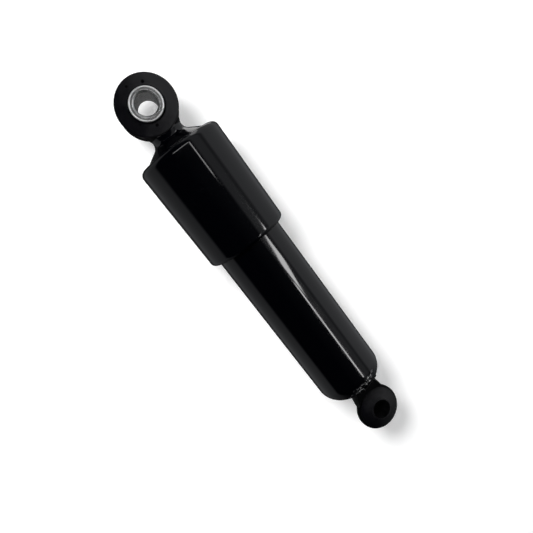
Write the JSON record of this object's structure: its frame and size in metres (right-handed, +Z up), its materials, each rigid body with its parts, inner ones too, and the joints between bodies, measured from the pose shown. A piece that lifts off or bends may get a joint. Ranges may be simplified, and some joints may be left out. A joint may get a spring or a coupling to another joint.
{
  "type": "rear shock absorber",
  "caption": "Telescopic hydraulic damper with a rubber-bushed eye at each end, a dust shroud over the rod and a domed oil reservoir.",
  "frame": {"origin": "middle of the upper eye's bore", "axes": "+Z up the damper's axis from the lower eye to the upper eye, +Y along the upper bore; the lower bore lies turned 9.5 degrees about the axis, since the rod swivels freely"},
  "size_m": [0.0518, 0.0518, 0.2596],
  "materials": {
    "black_paint": "gloss black enamel",
    "zinc_steel": "bright zinc plate",
    "rubber": "matt moulded rubber",
    "steel": "machined, oiled",
    "chrome_rod": "hard chrome, ground",
    "spring_steel": "oil tempered",
    "sintered_iron": "sintered, machined faces",
    "sliding_plastic": "filled sliding plastic",
    "bearing_bronze": "bearing bronze, burnished"
  },
  "bodies": {
    "sleeve": {"upper_sleeve": "zinc_steel"},
    "rod_side": {"upper_bush": "rubber", "upper_ring": "black_paint", "upper_weld": "black_paint", "upper_stem": "black_paint", "dust_shroud": "black_paint", "shroud_washer": "steel", "piston_rod": "chrome_rod", "rebound_cushion": "rubber", "rebound_collar": "steel", "check_stop_plate": "steel", "check_spring": "spring_steel", "piston": "sintered_iron", "piston_spacer": "steel", "rebound_spring": "spring_steel", "rebound_seat": "steel", "piston_nut": "zinc_steel"},
    "check_valve": {"piston_check_plate": "steel"},
    "rebound_valve": {"rebound_plate": "steel"},
    "band": {"piston_band": "sliding_plastic"},
    "cylinder": {"reservoir_tube": "black_paint", "seal_cover": "steel", "rod_seal": "rubber", "garter_spring": "spring_steel", "guide_seal_ring": "rubber", "rod_guide": "sintered_iron", "guide_bush": "bearing_bronze", "pressure_tube": "steel", "foot_valve_body": "sintered_iron", "foot_check_spring": "spring_steel", "foot_stop_plate": "steel", "foot_valve_pin": "steel", "foot_shims": "spring_steel", "lower_weld": "black_paint", "lower_ring": "black_paint", "lower_bush": "rubber"},
    "foot_valve": {"foot_check_plate": "steel"}
  },
  "joints": [
    {"name": "bush_wind_up", "type": "hinge", "parent": "sleeve", "child": "rod_side", "pos_m": [0, 0, 0], "axis": [0, 1, 0], "range_deg": [-15, 15], "stiffness_Nm_per_rad": 12},
    {"name": "rod_swivel", "type": "hinge", "parent": "rod_side", "child": "band", "pos_m": [0, 0, -0.11], "axis": [0, 0, 1], "continuous": true},
    {"name": "compression", "type": "slide", "parent": "band", "child": "cylinder", "axis": [0, 0, 1], "range_m": [0, 0.045]},
    {"name": "check_plate_lift", "type": "slide", "parent": "rod_side", "child": "check_valve", "axis": [0, 0, 1], "range_m": [0, 0.0008], "stiffness_N_per_m": 150, "deforming": ["check_spring"]},
    {"name": "rebound_plate_drop", "type": "slide", "parent": "rod_side", "child": "rebound_valve", "axis": [0, 0, -1], "range_m": [0, 0.001], "stiffness_N_per_m": 150, "deforming": ["rebound_spring"]},
    {"name": "foot_plate_lift", "type": "slide", "parent": "cylinder", "child": "foot_valve", "axis": [0, 0, 1], "range_m": [0, 0.0008], "stiffness_N_per_m": 150, "deforming": ["foot_check_spring"]}
  ]
}
